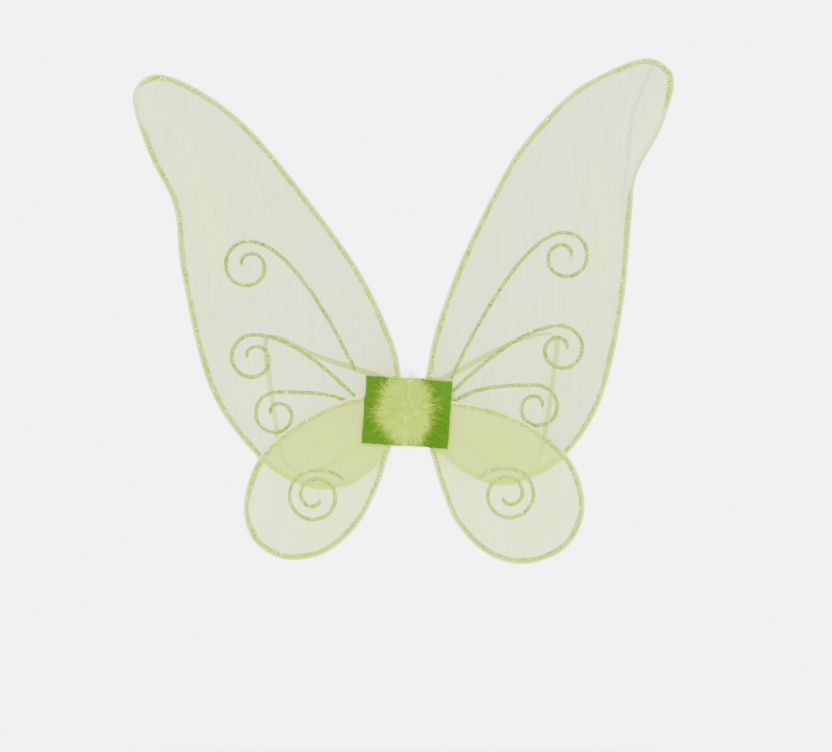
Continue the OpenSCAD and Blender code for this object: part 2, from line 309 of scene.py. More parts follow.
class Parts:
    """Gathers points and faces of several shapes into one mesh."""

    def __init__(self):
        self.points, self.faces, self.which, self.count = [], [], [], 0

    def add(self, points, faces, material=0):
        """material is one number, or one for each face."""
        self.points.append(np.asarray(points, float))
        self.faces += [tuple(self.count + int(i) for i in f) for f in faces]
        self.which += list(np.broadcast_to(material, len(faces)))
        self.count += len(points)

    def object(self, name, materials):
        return make_object(name, np.concatenate(self.points), self.faces, materials, self.which)


def ribbons(start, go, long, bend, width, rng, segments=3):
    """Thin tapering ribbons: each sets out from its start along go, and drifts by bend at its tip."""
    t = np.linspace(0, 1, segments + 1)
    line = start[:, None] + go[:, None] * (long[:, None] * t)[..., None]
    line = line + bend[:, None] * (t * t)[None, :, None]
    side_on = unit(np.cross(go, rng.normal(size=go.shape)))
    widths = (np.asarray(width) * np.ones(len(start)))[:, None, None]
    w = side_on[:, None] * widths * (1.02 - 0.85 * t)[None, :, None]
    points = np.stack([line - w, line + w], 2).reshape(-1, 3)
    quads = np.array([(2 * j, 2 * j + 1, 2 * j + 3, 2 * j + 2) for j in range(segments)])
    first = np.arange(len(start)) * 2 * (segments + 1)
    return points, (quads[None] + first[:, None, None]).reshape(-1, 4)


def finish_piece(nodes):
    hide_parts(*nodes)


# ---- materials ----

class Nodes:
    """A Principled material and short ways to add nodes to it."""

    def __init__(self, name, colour, roughness, **sockets):
        self.material = bpy.data.materials.new(name)
        self.material.use_nodes = True
        self.tree = self.material.node_tree
        self.shader = self.tree.nodes["Principled BSDF"]
        self.set("Base Color", (*colour, 1))
        self.set("Roughness", roughness)
        for socket, value in sockets.items():
            self.set(socket.replace("_", " "), value)
        self.coordinates = self.tree.nodes.new("ShaderNodeTexCoord").outputs["Object"]

    def set(self, socket, value):
        self.shader.inputs[socket].default_value = value

    def link(self, output, socket):
        self.tree.links.new(output, socket)

    def node(self, kind, **settings):
        n = self.tree.nodes.new(kind)
        for key, value in settings.items():
            setattr(n, key, value)
        return n

    def mapped(self, scale):
        m = self.node("ShaderNodeMapping")
        m.inputs["Scale"].default_value = scale
        self.link(self.coordinates, m.inputs["Vector"])
        return m.outputs["Vector"]

    def noise(self, scale, detail=3.0, stretch=(1, 1, 1), rough=0.55):
        n = self.node("ShaderNodeTexNoise")
        n.inputs["Scale"].default_value = scale
        n.inputs["Detail"].default_value = detail
        n.inputs["Roughness"].default_value = rough
        self.link(self.mapped(stretch), n.inputs["Vector"])
        return n.outputs["Fac"]

    def cells(self, scale, output):
        n = self.node("ShaderNodeTexVoronoi")
        n.inputs["Scale"].default_value = scale
        self.link(self.coordinates, n.inputs["Vector"])
        return n.outputs[output]

    def stretch(self, value, low, high, out_low=0.0, out_high=1.0):
        """value from low to high becomes out_low to out_high."""
        m = self.node("ShaderNodeMapRange")
        for i, v in enumerate((low, high, out_low, out_high)):
            m.inputs[i + 1].default_value = v
        self.link(value, m.inputs[0])
        return m.outputs[0]

    def maths(self, operation, a, b):
        m = self.node("ShaderNodeMath", operation=operation)
        for i, v in enumerate((a, b)):
            if isinstance(v, (int, float)):
                m.inputs[i].default_value = v
            else:
                self.link(v, m.inputs[i])
        return m.outputs[0]

    def mix(self, factor, a, b):
        """A colour between two, each a colour or a node's output. factor is an output."""
        m = self.node("ShaderNodeMix", data_type="RGBA")
        self.link(factor, m.inputs["Factor"])
        colour_a, colour_b = 6, 7
        for socket, v in ((m.inputs[colour_a], a), (m.inputs[colour_b], b)):
            if isinstance(v, tuple):
                socket.default_value = (*v, 1)
            else:
                self.link(v, socket)
        colour_result = 2
        return m.outputs[colour_result]

    def attribute(self, name):
        return self.node("ShaderNodeAttribute", attribute_name=name).outputs["Fac"]

    def colour(self, output):
        self.link(output, self.shader.inputs["Base Color"])

    def rough(self, output):
        self.link(output, self.shader.inputs["Roughness"])

    def sheen(self, weight, roughness=0.5, tint=(1, 1, 1)):
        self.set("Sheen Weight", weight)
        self.set("Sheen Roughness", roughness)
        self.set("Sheen Tint", (*tint, 1))

    def bump(self, height, distance, strength):
        b = self.node("ShaderNodeBump")
        b.inputs["Strength"].default_value = strength
        b.inputs["Distance"].default_value = distance
        self.link(height, b.inputs["Height"])
        self.link(b.outputs["Normal"], self.shader.inputs["Normal"])


def sheer_material(name, shade, light, painted_sheen_colour, painted_sheen_weight):
    """Stretch nylon: fine upright ribs, soft clouding, denser where it is gathered or doubled; with painted
    light: a pale painted highlight on the gathers and round the wire, grey painted shade along the crease,
    and painted sheen where it is pulled.
    """
    m = Nodes(name, shade, 0.45, Specular_IOR_Level=0.35)
    ribs = m.noise(1300, 2, stretch=(1, 1, 0.035))
    threads = m.noise(420, 2, stretch=(1, 1, 0.05))
    clouds = m.noise(11, 3, stretch=(1, 1, 0.45))
    density_and_highlight, painted_sheen, fold_and_painted_shade = m.attribute("gathered_and_highlight"), m.attribute("painted_sheen"), m.attribute("fold_and_painted_shade")
    alpha = m.stretch(ribs, 0.3, 0.7, 0.48, 0.60)
    alpha = m.maths("ADD", alpha, m.stretch(threads, 0.3, 0.7, -0.04, 0.04))
    alpha = m.maths("ADD", alpha, m.stretch(clouds, 0.3, 0.7, -0.03, 0.04))
    for amount, more in ((density_and_highlight, 0.42), (painted_sheen, painted_sheen_weight), (fold_and_painted_shade, 0.16)):
        alpha = m.maths("ADD", alpha, m.maths("MULTIPLY", amount, more))
    m.link(m.stretch(alpha, 0.0, 0.97, 0.0, 0.97), m.shader.inputs["Alpha"])
    base = m.mix(m.stretch(clouds, 0.35, 0.7), shade, light)
    # painted sheen: the colour turns towards the painted sheen colour along the pulled lines
    base = m.mix(m.maths("MULTIPLY", painted_sheen, 0.85), base, painted_sheen_colour)
    # painted shade: the cloth turns grey along the crease
    base = m.mix(m.maths("MULTIPLY", fold_and_painted_shade, 0.75), base, (0.42, 0.44, 0.34))
    # painted highlight: where the cloth is gathered or wraps the wire it is turned pale, on top of being
    # denser
    m.colour(m.mix(m.maths("MULTIPLY", density_and_highlight, 0.9), base, (0.90, 0.99, 0.30)))
    m.bump(ribs, 0.00012, 0.5)
    return m.material


def wire_material():
    m = Nodes("craft_wire", (0.72, 0.75, 0.70), 0.36, Metallic=1.0)
    dull = m.noise(160, 4)
    m.colour(m.mix(m.stretch(dull, 0.35, 0.7), (0.60, 0.64, 0.58), (0.82, 0.84, 0.80)))
    m.rough(m.stretch(dull, 0.3, 0.7, 0.28, 0.48))
    m.bump(m.noise(900, 2), 0.00005, 0.6)
    return m.material


def glue_material(name, dark, light):
    """Set glitter glue: clear gel full of fine flakes, with brighter and duller clusters of them."""
    m = Nodes(name, dark, 0.4, Specular_IOR_Level=0.3, Coat_Weight=0.08, Coat_Roughness=0.2)
    fine, coarse = m.node("ShaderNodeSeparateColor"), m.node("ShaderNodeSeparateColor")
    m.link(m.cells(1300, "Color"), fine.inputs[0])
    m.link(m.cells(480, "Color"), coarse.inputs[0])
    one_flake = m.stretch(fine.outputs["Red"], 0.1, 0.9, 0.3, 1)
    cluster = m.stretch(coarse.outputs["Red"], 0.15, 0.7)
    tint = m.mix(m.maths("MULTIPLY", one_flake, cluster), dark, light)
    m.colour(m.mix(m.stretch(m.noise(160, 3), 0.38, 0.66, 0, 0.55), tint, light))
    m.rough(m.stretch(fine.outputs["Green"], 0, 1, 0.25, 0.65))
    m.bump(fine.outputs["Blue"], 0.0003, 0.8)
    return m.material


def flake_material(name, colour):
    m = Nodes(name, colour, 0.22, Metallic=0.85, Specular_IOR_Level=0.7)
    m.colour(m.mix(m.stretch(m.noise(700, 1), 0.35, 0.65), tuple(0.75 * c for c in colour), colour))
    return m.material


def felt_material():
    m = Nodes("craft_felt", (0.08, 0.22, 0.01), 0.95, Specular_IOR_Level=0.15)
    m.sheen(0.18, 0.5, (0.6, 0.95, 0.25))
    fibres = m.noise(1100, 6, stretch=(1, 1, 0.45), rough=0.7)
    matting = m.noise(150, 5, stretch=(1, 1, 1.3), rough=0.65)
    base = m.mix(m.stretch(fibres, 0.32, 0.68), (0.028, 0.108, 0.001), (0.080, 0.222, 0.006))
    m.colour(m.mix(m.stretch(matting, 0.4, 0.7, 0, 0.55), base, (0.064, 0.190, 0.004)))
    m.bump(m.maths("ADD", fibres, m.maths("MULTIPLY", matting, 1.6)), 0.0006, 0.8)
    return m.material


def down_material(name, root, tip):
    m = Nodes(name, tip, 0.8, Specular_IOR_Level=0.1)
    m.sheen(0.04, 0.4, (0.85, 1.0, 0.4))
    m.colour(m.mix(m.stretch(m.noise(90, 3), 0.3, 0.7), root, tip))
    return m.material


def elastic_material():
    m = Nodes("woven_elastic", (0.78, 0.79, 0.75), 0.7, Specular_IOR_Level=0.3)
    m.sheen(0.15)
    weave = m.cells(1500, "Distance")
    m.colour(m.mix(m.stretch(weave, 0.1, 0.6), (0.93, 0.94, 0.89), (0.74, 0.76, 0.70)))
    m.bump(weave, 0.0002, 0.7)
    return m.material


def plain_material(name, dark, light, roughness, scale, **sockets):
    m = Nodes(name, light, roughness, **sockets)
    grain = m.noise(scale, 4)
    m.colour(m.mix(m.stretch(grain, 0.35, 0.65), dark, light))
    m.bump(grain, 0.0002, 0.5)
    return m.material


# Each cloth: two random tones, the colour of its painted sheen, and how much the painted sheen adds to its
# opacity
SHEER = {
    UPPER: sheer_material(
        "sheer_nylon", (0.53, 0.63, 0.05), (0.62, 0.77, 0.06), (0.78, 1.00, 0.14), 0.06,
    ),
    LOWER: sheer_material(
        "sheer_nylon_lime", (0.66, 0.90, 0.01), (0.76, 0.99, 0.03), (0.70, 0.98, 0.02), 0.16,
    ),
}
WIRE = wire_material()
EDGE_GLUE = glue_material("edge_glue", (0.22, 0.40, 0.002), (0.82, 1.00, 0.03))
SCROLL_GLUE = {
    UPPER: glue_material("scroll_glue", (0.12, 0.23, 0.002), (0.50, 0.70, 0.02)),
    LOWER: glue_material("spiral_glue", (0.20, 0.36, 0.002), (0.64, 0.84, 0.03)),
}
FLAKES = [
    flake_material("flake_lime", (0.30, 0.52, 0.005)),
    flake_material("flake_gold", (0.90, 0.95, 0.05)),
    flake_material("flake_silver", (0.97, 1.00, 0.55)),
]
FELT = felt_material()
# The same down in three tones: the deep one is painted shade for the gaps between tufts and the knot, the
# pale one is painted light
DOWN = [
    down_material("down_painted_shade", (0.42, 0.68, 0.001), (0.56, 0.82, 0.003)),
    down_material("down", (0.70, 0.97, 0.002), (0.82, 1.00, 0.006)),
    down_material("down_painted_light", (0.86, 1.00, 0.02), (0.95, 1.00, 0.12)),
]
ELASTIC = elastic_material()
THREAD = plain_material("thread", (0.60, 0.66, 0.50), (0.80, 0.85, 0.72), 0.6, 900)
TAPE = plain_material("crepe_tape", (0.62, 0.60, 0.50), (0.80, 0.79, 0.70), 0.8, 400)
HOT_GLUE = plain_material(
    "hot_glue", (0.78, 0.78, 0.70), (0.88, 0.88, 0.82), 0.3, 120, Subsurface_Weight=0.2,
)


# ---- the wings' wires, sleeves and glitter ----

def layer_offset(inside):
    """How far each cloth layer lies from the wing's middle surface, at a distance inside the wire."""
    settling = 16.0
    return CLOTH_HALF + (CLOTH_R - CLOTH_HALF) * np.exp(-np.maximum(inside, 0) / settling)


def wire_line(side, layer):
    """One wire from its upper end in the hub, round the wing, to its lower end in the hub."""
    outline = OUTLINES[side, layer]
    loop = on_wing(side, layer, resample(smooth_curve(outline), 2.5))
    column = np.array([side * 6.2, BEND_Y + 1.8] if layer == UPPER else [side * 3.4, BEND_Y - 1.8])
    ends = []
    for z in (outline[0][1], outline[-1][1]):
        sign = 1 if z > 0 else -1
        bend = np.array([side * BEND_X, BEND_Y, z])
        turn = np.array([*column, sign * max(abs(z) * 0.65, 10.5)])
        inner = np.array([*column, sign * 2.0])
        ends.append(np.array([
            inner, (inner + turn) / 2, turn + unit(inner - turn) * WIRE_R, turn + unit(bend - turn) * WIRE_R,
            (turn + bend) / 2,
        ]))
    return np.concatenate([ends[0], loop, ends[1][::-1]])


def make_wire(side, layer):
    name = wing_name(side, layer)
    points, faces = tube(wire_line(side, layer), WIRE_R)
    obj = make_object(f"{name}_wire", points, faces, [WIRE])
    finish_piece([f"{name}_frame", f"{name}_wire_ends"])
    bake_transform(obj)


def sleeve_grid(side, layer, rows=150, columns=56):
    """Flat points of the sleeve's middle surface: rows run from the root to the tip, columns across it.

    Also the outline, and each column's share of the way across. Rows are closest near the tip.
    """
    path = resample(smooth_curve(OUTLINES[side, layer]), 1.0)
    tip = int(np.argmax(np.linalg.norm(path, axis=1)))
    inner_leg, trail = path[: tip + 1], path[tip:][::-1]
    lead = inner_leg[inner_leg[:, 1] > 36] if layer == UPPER else inner_leg[inner_leg[:, 0] > 16]
    if (side, layer) == (RIGHT, UPPER):
        lead = np.concatenate([inner_leg[inner_leg[:, 1] > 30][:1], lead])
    trail = trail[trail[:, 0] > 15.5]
    u = 1 - (1 - np.linspace(0, 1, rows)) ** 1.7
    a = at_lengths(lead, u * lengths(lead)[-1])
    b = at_lengths(trail, u * lengths(trail)[-1])
    v = np.linspace(0, 1, columns)
    v = v - 0.06 * np.sin(2 * math.pi * v)
    flat = a[:, None] * (1 - v)[None, :, None] + b[:, None] * v[None, :, None]
    root_line = smooth_curve([a[0], *ROOTS[layer], b[0]])
    bulge = at_lengths(root_line, v * lengths(root_line)[-1]) - flat[0]
    fade = (1 - ease(u / 0.22))[:, None, None]
    return flat + bulge[None] * fade, path, v


def nearest(flat, path):
    """The distance from each flat point to a path, and the nearest path point's index."""
    gap = np.full(len(flat), 1e9)
    index = np.zeros(len(flat), int)
    batch = 400
    for i in range(0, len(path), batch):
        d = np.linalg.norm(flat[:, None] - path[None, i:i + batch], axis=2)
        k = d.argmin(1)
        least = d[np.arange(len(flat)), k]
        closer = least < gap
        gap[closer] = least[closer]
        index[closer] = (k + i)[closer]
    return gap, index


def painted_sheen_amount(side, layer, flat):
    """How much painted sheen the cloth gets at each flat point, from 0 to 1."""
    amount = np.zeros(len(flat))
    for *line, fade in PAINTED_SHEENS[side, layer]:
        path = resample(smooth_curve(line), 3.0)
        gap, index = nearest(flat, path)
        ends = np.sin(math.pi * np.clip(index / (len(path) - 1), 0.08, 0.92))
        amount = np.maximum(amount, np.exp(-((gap / fade) ** 2)) * (0.4 + 0.6 * ends))
    if (side, layer) == (LEFT, UPPER):
        edge = resample(smooth_curve(SLACK_EDGE), 2.0)
        _, index = nearest(flat, edge)
        beyond = np.clip((flat - edge[index])[:, 0] / 3.0 + 0.5, 0, 1)
        amount = np.maximum(amount, 0.75 * beyond * (1 - ease(index / (len(edge) - 1))))
    return amount


def crease_amount(side, layer, flat):
    """How deep the crease is at each flat point. It fades out towards its lower end."""
    if (side, layer) != (RIGHT, UPPER):
        return np.zeros(len(flat))
    path = resample(smooth_curve(CREASE), 2.0)
    gap, index = nearest(flat, path)
    share = index / (len(path) - 1)
    return np.exp(-((gap / 1.6) ** 2)) * (1 - ease((share - 0.35) / 0.65))


def make_sleeve(side, layer):
    """A wing's cloth: a rear and a front layer, joined round the wire, with gathers at the root."""
    name = wing_name(side, layer)
    flat, path, v = sleeve_grid(side, layer)
    rows, columns = flat.shape[:2]
    every = flat.reshape(-1, 2)
    inside, index = nearest(every, path)
    inside = inside.reshape(rows, columns)
    inside[:, 0] = inside[:, -1] = 0
    edge_normals = outward(path)[index].reshape(rows, columns, 2)
    crease = crease_amount(side, layer, every).reshape(rows, columns)

    # gathers that fan out of the root, and a slight pull along the wing
    (_, root_top), (_, root_foot) = ROOTS[layer]
    from_root = np.linalg.norm(flat - np.array([BEND_X, (root_top + root_foot) / 2]), axis=2)
    gather = np.exp(-np.maximum(from_root - 12, 0) / 26.0)
    pleat_count, pleat_height, crease_depth = 13, 0.55, 0.5
    pleats = np.sin(2 * math.pi * pleat_count * v[None] + 1.7 * np.sin(7 * v[None])) * gather * pleat_height
    pull = 0.35 * wobble(every * [1, 0.5], 26, layer + 2 * side)
    pull = pull.reshape(rows, columns) * np.clip(inside / 8, 0, 1)
    half = layer_offset(inside)
    shape = (pleats + pull) * np.clip(inside / 4, 0, 1)
    rear, front = on_wing(side, layer, flat), on_wing(side, layer, flat)
    rear[..., 1] += -half + shape - crease_depth * crease
    front[..., 1] += half + shape * 0.8 - crease_depth * crease

    # half a turn round the wire at each edge
    arc = np.radians(np.linspace(-90, 90, 7)[1:-1])

    def wrap(column):
        centre = flat[:, column]
        n = edge_normals[:, column]
        spread = centre[:, None] + CLOTH_R * np.cos(arc)[None, :, None] * n[:, None]
        line = on_wing(side, layer, centre)[:, None, 1] + CLOTH_R * np.sin(arc)[None]
        slope = wing_y(layer, spread[..., 0]) - wing_y(layer, centre[:, None, 0])
        return np.stack([side * spread[..., 0], line + slope, spread[..., 1]], -1)

    ring = np.concatenate([rear, wrap(columns - 1), front[:, ::-1], wrap(0)[:, ::-1]], 1)
    sides = ring.shape[1]
    # painted sheen along the pulled lines and past the slack patch's edge
    painted_sheen = painted_sheen_amount(side, layer, every).reshape(rows, columns)
    obj = make_object(f"{name}_sleeve_cloth", ring.reshape(-1, 3), ring_faces(rows, sides), [SHEER[layer]])
    # denser cloth at the root's gathers and round the wire, which the material also paints pale as a
    # highlight
    density_and_highlight = gather * 0.75 + np.exp(-((inside / 1.8) ** 2)) * 0.85
    # the crease's amount also greys the cloth there as painted shade, besides making it denser
    for kind, amount, at_wire in (("gathered_and_highlight", density_and_highlight, 0.95), ("fold_and_painted_shade", crease, 0), ("painted_sheen", painted_sheen, 0)):
        wrapped = np.full((rows, len(arc)), at_wire, float)
        point_values(obj, kind, np.concatenate([amount, wrapped, amount[:, ::-1], wrapped], 1).ravel())
    weld = obj.modifiers.new("weld", "WELD")
    weld.merge_threshold = 0.00002
    finish_piece([f"{name}_sleeve"])
    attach(obj, f"{name}_wing")


def bead(side, layer, path, low, high, lift, height, seed, amount, across=6):
    """A raised ragged line of glue on the rear of a sleeve, and the grid of its top surface.

    low and high are its edges, inwards from the path. amount is its share of full width along the path.
    """
    inward = -outward(path)
    ragged = wobble(path, 5, seed) + 0.5 * wobble(path, 1.8, seed + 5)
    ragged_2 = wobble(path, 6, seed + 9) + 0.5 * wobble(path, 2.1, seed + 13)
    middle = (low + high) / 2
    half = (high - low) / 2
    start = middle - half * (1 + 0.14 * ragged_2) * amount
    stop = middle + half * (1 + 0.20 * ragged) * amount
    c = np.linspace(0, 1, across)
    s = start[:, None] + (stop - start)[:, None] * c[None]
    flat = path[:, None] + s[..., None] * inward[:, None]
    dome = np.sin(math.pi * c) ** 0.6
    bumps = wobble(flat.reshape(-1, 2), 2.2, seed + 3).reshape(len(path), across)
    tall = height * dome[None] * (0.75 + 0.5 * bumps) * np.clip(amount, 0.2, 1)[:, None]
    base = on_wing(side, layer, flat, -lift)
    top = base.copy()
    top[..., 1] -= np.maximum(tall, 0.03)
    base[..., 1] += 0.12
    ring = np.concatenate([top, base[:, ::-1]], 1)
    return ring.reshape(-1, 3), capped_faces(len(path), ring.shape[1]), top


def flakes(top, per_mm2, seed, amount):
    """Small six-sided flakes scattered over a bead's top surface, and the material of each."""
    rng = np.random.default_rng(seed)
    rows, columns = top.shape[:2]
    widths = np.linalg.norm(top[:, -1] - top[:, 0], axis=1)
    steps = np.linalg.norm(np.gradient(top[:, columns // 2], axis=0), axis=1)
    area = widths * steps * amount
    count = int(area.sum() * per_mm2)
    row = rng.choice(rows - 1, count, p=area[:-1] / area[:-1].sum())
    c = rng.uniform(0.03, 0.97, count) * (columns - 1)
    k = np.minimum(c.astype(int), columns - 2)
    fc, fr = (c - k)[:, None], rng.uniform(0, 1, count)[:, None]
    near = top[row, k] * (1 - fc) + top[row, k + 1] * fc
    far = top[row + 1, k] * (1 - fc) + top[row + 1, k + 1] * fc
    centre = near * (1 - fr) + far * fr + np.array([0, -0.06, 0])
    normal = unit(np.array([0, -1.0, 0]) + rng.normal(0, 0.42, (count, 3)))
    side_on = unit(np.cross(normal, rng.normal(0, 1, (count, 3))))
    other = np.cross(normal, side_on)
    r = rng.uniform(0.24, 0.52, count)[:, None, None]
    a = np.arange(6) * math.pi / 3
    points = centre[:, None] + r * (
        np.cos(a)[None, :, None] * side_on[:, None] + np.sin(a)[None, :, None] * other[:, None]
    )
    faces = np.arange(count * 6).reshape(count, 6)
    return points.reshape(-1, 3), faces, rng.choice(3, count, p=[0.5, 0.28, 0.22]) + 1


def glitter_object(name, line, scattered, glue, node, body):
    parts = Parts()
    parts.add(*line)
    parts.add(*scattered)
    obj = parts.object(name, [glue, *FLAKES])
    finish_piece([node])
    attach(obj, body)


def make_edge_glitter(side, layer, seed):
    """The band of glue along a wing's edge, broken where its glitter has worn off."""
    name = wing_name(side, layer)
    path = resample(smooth_curve(OUTLINES[side, layer]), 1.0)
    share = lengths(path) / lengths(path)[-1]
    clear_of_hub = (path[:, 0] > BEND_X + 6) | (path[:, 1] > 34)
    path, share = path[clear_of_hub], share[clear_of_hub]
    amount = 0.80 + 0.42 * wobble(path, 34, seed + 41) + 0.16 * wobble(path, 11, seed + 43)
    if layer == UPPER:
        first, last = BARE[side]
        fade = 0.012
        amount = amount * (1 - 0.93 * ease((share - first) / fade) * (1 - ease((share - last) / fade)))
    lift = float(layer_offset(2.5))
    points, faces, top = bead(side, layer, path, 0.1, EDGE_W + 0.7, lift, EDGE_T, seed, amount)
    glitter_object(
        f"{name}_glitter_edge", (points, faces), flakes(top, EDGE_FLAKES, seed, amount), EDGE_GLUE,
        f"{name}_edge_glitter", f"{name}_wing",
    )


def make_scroll(side, layer, scroll, seed):
    """One line of glue drawn by hand: a stem that ends in a spiral."""
    name = wing_name(side, layer)
    kind, *shape = scroll
    path = resample(scroll_path(*shape), 0.9)
    shaken = path + 0.28 * wobble(path, 9, seed + 21)[:, None] * outward(path)
    share = np.linspace(0, 1, len(path))
    amount = (0.8 + 0.2 * ease(share / 0.03)) * (0.6 + 0.4 * ease((1 - share) / 0.02))
    amount = amount * (1 + 0.12 * wobble(path, 14, seed + 31))
    half = SCROLL_W / 2
    points, faces, top = bead(side, layer, shaken, -half, half, CLOTH_HALF, SCROLL_T, seed, amount)
    glitter_object(
        f"{name}_{kind}_line", (points, faces), flakes(top, SCROLL_FLAKES, seed, amount), SCROLL_GLUE[layer],
        f"{name}_{kind}", f"{name}_wing",
    )


# ---- felt ----

def make_felt(span, height, face_y, thickness, middle, turn, slope, seed, join=None):
    """A felt rectangle turned about its middle, as a closed sheet with soft edges.

    span is its two ends, from the middle. Past the bend lines it slopes back. join names the end that
    meets another piece, and so stays square. It gives the points, the faces, the grids of its front and
    rear, and each grid point's steps from the edge.
    """
    xs = np.linspace(span[0], span[1], int(round(span[1] - span[0])) + 1)
    zs = np.linspace(-height / 2, height / 2, int(round(height)) + 1)
    x, z = np.meshgrid(xs, zs, indexing="ij")
    c, s = math.cos(turn), math.sin(turn)
    px, pz = middle[0] + x * c - z * s, middle[1] + x * s + z * c
    nx, nz = px.shape
    flat3 = np.stack([px, 0 * px, pz], -1).reshape(-1, 3)
    y = face_y - slope * np.maximum(np.abs(px) - BEND_X, 0)
    no_edge = np.full(nx, 99)
    from_low = no_edge if join == "low" else np.arange(nx)
    from_high = no_edge if join == "high" else np.arange(nx)[::-1]
    from_sides = np.minimum(np.arange(nz), np.arange(nz)[::-1])
    edge = np.minimum(np.minimum(from_low, from_high)[:, None], from_sides[None])
    round_off = np.sqrt(np.clip(1 - (1 - np.clip(edge / 1.6, 0, 1)) ** 2, 0, 1))
    lumps = (0.22 * wobble(flat3, 11, seed) + 0.07 * wobble(flat3, 2.0, seed + 3)).reshape(nx, nz)
    ragged = 0.5 * wobble(flat3, 7, seed + 6) + 0.2 * wobble(flat3, 2.2, seed + 8)
    ragged = ragged.reshape(nx, nz) * (edge == 0)
    half = thickness / 2
    front = np.stack([px + ragged, y - half + (half - 0.03) * round_off, pz + ragged], -1)
    rear = np.stack([px + ragged, y - half - half * round_off + lumps * round_off, pz + ragged], -1)
    points = np.concatenate([front.reshape(-1, 3), rear.reshape(-1, 3)])
    total = nx * nz
    grid = np.arange(total).reshape(nx, nz)
    a, b, c, d = (g.ravel() for g in (grid[:-1, :-1], grid[1:, :-1], grid[1:, 1:], grid[:-1, 1:]))
    both = np.stack([np.stack([a, d, c, b], 1), total + np.stack([a, b, c, d], 1)], 1)
    rim = [*grid[:, 0], *grid[-1, 1:], *grid[-2::-1, -1], *grid[0, -2:0:-1]]
    sides = [(p, q, total + q, total + p) for p, q in zip(rim, rim[1:] + rim[:1])]
    faces = [*both.reshape(-1, 4), *sides]
    return points, faces, front, rear, edge


def felt_fuzz(front, rear, edge, count, seed):
    """Short loose fibres on a felt piece, half of them on its rim."""
    rng = np.random.default_rng(seed)
    rim, field = np.argwhere(edge == 0), np.argwhere(edge > 1)
    middle = rear.reshape(-1, 3).mean(0)
    shapes = []
    for places, sunk, shortest, longest in ((rim, 0.5, 0.6, 2.0), (field, 0.02, 0.8, 1.9)):
        chosen = places[rng.integers(len(places), size=count // 2)]
        start = (rear * (1 - sunk) + front * sunk)[chosen[:, 0], chosen[:, 1]]
        away = unit((start - middle) * [1, 0, 1]) if places is rim else np.array([0, -0.35, 0])
        go = unit(away + rng.normal(0, 0.75, start.shape) * [1, 0.5, 1])
        long = rng.uniform(shortest, longest, len(start))
        bend = unit(rng.normal(size=start.shape)) * long[:, None] * 0.35
        shapes.append(ribbons(start, go, long, bend, 0.045, rng))
    return shapes


def felt_object(name, made, fuzz_count, seed):
    points, faces, *grids = made
    obj = make_object(name, points, faces, [FELT])
    parts = Parts()
    for shape in felt_fuzz(*grids, fuzz_count, seed):
        parts.add(*shape)
    fuzz = parts.object(f"{name}_fuzz", [FELT])
    return obj, fuzz


def make_patch():
    """The rear patch, in two halves that meet in the middle."""
    face_y = cad_box("felt_patch")[1][1]
    for side in (LEFT, RIGHT):
        name = f"{SIDE_NAMES[side]}_patch_half"
        meet = -PATCH_MIDDLE[0]
        span, join = ((-PATCH_W / 2, meet), "high") if side == LEFT else ((meet, PATCH_W / 2), "low")
        slope = math.tan(SWEEP[LOWER])
        made = make_felt(span, PATCH_H - 0.6, face_y, FELT_T, PATCH_MIDDLE, PATCH_TURN, slope, 3, join)
        obj, fuzz = felt_object(name, made, 1400, 40 + side)
        if side == LEFT:
            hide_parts("felt_patch")
        for piece in (obj, fuzz):
            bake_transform(piece)


def make_pad():
    low, high = cad_box("back_pad")
    wide, tall = high[0] - low[0], high[2] - low[2]
    made = make_felt((-wide / 2, wide / 2), tall, high[1], high[1] - low[1], np.zeros(2), 0.0, 0.0, 17)
    obj, fuzz = felt_object("back_pad_felt", made, 1800, 51)
    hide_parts("back_pad")
    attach(obj, "hub")
    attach(fuzz, "hub")


# ---- pompom ----

def pompom_places():
    """Its middle, its radius, and how far forwards it may reach."""
    low, high = cad_box("pompom_fluff")
    r = (high[0] - low[0]) / 2
    return np.array([(low[0] + high[0]) / 2, low[1] + r, (low[2] + high[2]) / 2]), r, high[1]


